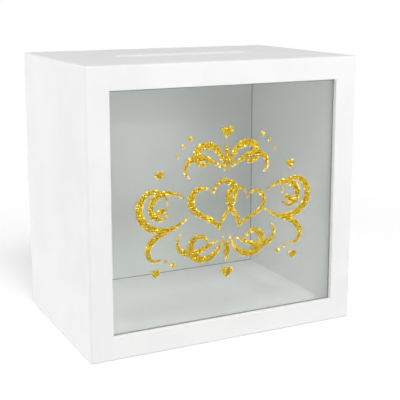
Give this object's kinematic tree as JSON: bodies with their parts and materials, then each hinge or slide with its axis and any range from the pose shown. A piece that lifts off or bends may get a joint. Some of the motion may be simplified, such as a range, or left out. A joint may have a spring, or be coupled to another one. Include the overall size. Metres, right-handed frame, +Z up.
{
  "type": "wedding card box",
  "caption": "White painted card box with a framed glass front, a gold glitter ornament on the glass, a card slot in the top and a lift-out back panel held by turn buttons.",
  "frame": {"origin": "centre of the bounding box, on the surface that the box stands on", "axes": "+Z up, the glazed front faces -Y, +X to the right as seen from the front"},
  "size_m": [0.25, 0.1684, 0.24],
  "materials": {
    "white_paint": "fibreboard in satin white paint",
    "bead_paint": "satin white paint",
    "back_board": "thin fibreboard in matt white paint",
    "glass": "clear, with a slight green-grey cast",
    "tape": "grey foam glazing tape",
    "gold_glitter": "gold glitter film",
    "button_plate": "zinc plated",
    "screw_steel": "nickel plated",
    "pin_steel": "bright drawn steel",
    "dowel_wood": "bare beech"
  },
  "bodies": {
    "box": {"top_panel": "white_paint", "bottom_panel": "white_paint", "left_panel": "white_paint", "right_panel": "white_paint", "front_top_rail": "white_paint", "front_bottom_rail": "white_paint", "front_left_stile": "white_paint", "front_right_stile": "white_paint", "glass_pane": "glass", "glazing_tape": "tape", "top_bead": "bead_paint", "bottom_bead": "bead_paint", "left_bead": "bead_paint", "right_bead": "bead_paint", "bead_pins": "pin_steel", "corner_dowels": "dowel_wood", "turn_button_screws": "screw_steel", "gold_scrolls_top": "gold_glitter", "gold_scrolls_middle": "gold_glitter", "gold_scrolls_bottom": "gold_glitter", "gold_heart_pair": "gold_glitter", "gold_hearts_and_dots": "gold_glitter"},
    "back_panel": {"back_panel": "back_board"},
    "turn_button_top": {"turn_button_top": "button_plate"},
    "turn_button_bottom": {"turn_button_bottom": "button_plate"},
    "turn_button_left": {"turn_button_left": "button_plate"},
    "turn_button_right": {"turn_button_right": "button_plate"}
  },
  "joints": [
    {"name": "back_panel_lift_out", "type": "slide", "parent": "box", "child": "back_panel", "axis": [0, 1, 0], "range_m": [0, 0.12]},
    {"name": "turn_button_top_turn", "type": "hinge", "parent": "box", "child": "turn_button_top", "pos_m": [0, 0.0816, 0.23625], "axis": [0, 1, 0], "range_deg": [0, 90]},
    {"name": "turn_button_bottom_turn", "type": "hinge", "parent": "box", "child": "turn_button_bottom", "pos_m": [0, 0.0816, 0.00375], "axis": [0, 1, 0], "range_deg": [0, 90]},
    {"name": "turn_button_left_turn", "type": "hinge", "parent": "box", "child": "turn_button_left", "pos_m": [-0.12125, 0.0816, 0.12], "axis": [0, 1, 0], "range_deg": [0, 90]},
    {"name": "turn_button_right_turn", "type": "hinge", "parent": "box", "child": "turn_button_right", "pos_m": [0.12125, 0.0816, 0.12], "axis": [0, 1, 0], "range_deg": [0, 90]}
  ]
}
